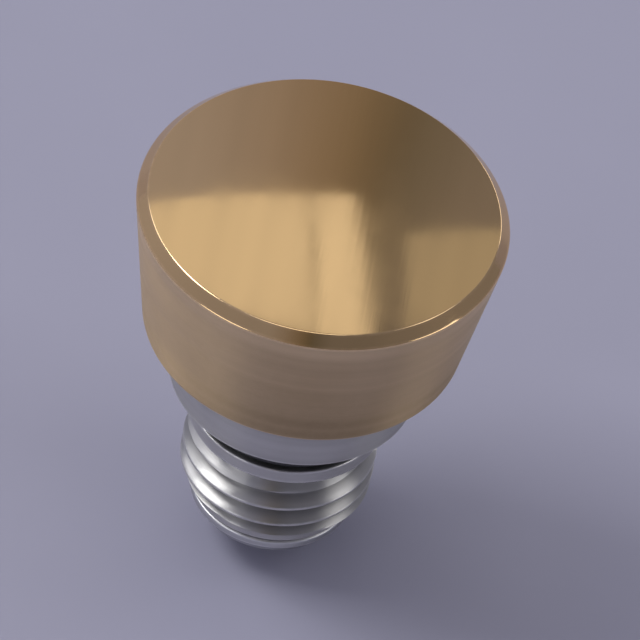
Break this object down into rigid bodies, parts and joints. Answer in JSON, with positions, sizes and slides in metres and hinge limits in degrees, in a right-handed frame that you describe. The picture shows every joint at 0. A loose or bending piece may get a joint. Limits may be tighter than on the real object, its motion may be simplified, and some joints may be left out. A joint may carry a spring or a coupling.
{
  "type": "chronograph pusher",
  "caption": "Round gold-coloured push button with a domed face on a threaded tube, sprung stem, gaskets and retaining clip, for the side of a watch case.",
  "frame": {"origin": "on the stem's axis, in the plane where the collar seats on the watch case, at the top of the pilot", "axes": "+Z along the stem's axis, out of the watch case and towards the head's face; +X towards the mouth of the retaining clip"},
  "size_m": [0.0056, 0.0056, 0.0072],
  "materials": {
    "polished_gold": "polished yellow gold plating with a faint brushed grain",
    "turned_steel": "turned stainless steel with fine rings round the axis",
    "ground_steel": "ground and polished stainless steel",
    "washer_steel": "barrel-polished stainless steel",
    "spring_steel": "drawn and stamped spring steel",
    "bronze": "turned bearing bronze",
    "white_plastic": "waxy white bearing plastic",
    "black_rubber": "moulded nitrile rubber, lightly greased"
  },
  "bodies": {
    "tube_body": {"guide_tube": "turned_steel", "guide_bush": "bronze", "gasket_retainer": "washer_steel", "gasket_spacer": "white_plastic", "stem_gasket_upper": "black_rubber", "stem_gasket_lower": "black_rubber", "skirt_gasket": "black_rubber", "case_gasket": "black_rubber", "return_spring": "spring_steel"},
    "spring_seat": {"spring_cap": "washer_steel"},
    "button": {"head_cap": "polished_gold", "head_core": "turned_steel", "stem": "ground_steel", "stop_washer": "washer_steel", "retaining_clip": "spring_steel"}
  },
  "joints": [
    {"name": "press", "type": "slide", "parent": "tube_body", "child": "spring_seat", "axis": [0, 0, -1], "range_m": [0, 0.0009], "stiffness_N_per_m": 900, "deforming": ["return_spring"]},
    {"name": "spin", "type": "hinge", "parent": "spring_seat", "child": "button", "pos_m": [0, 0, 0], "axis": [0, 0, 1], "continuous": true}
  ]
}
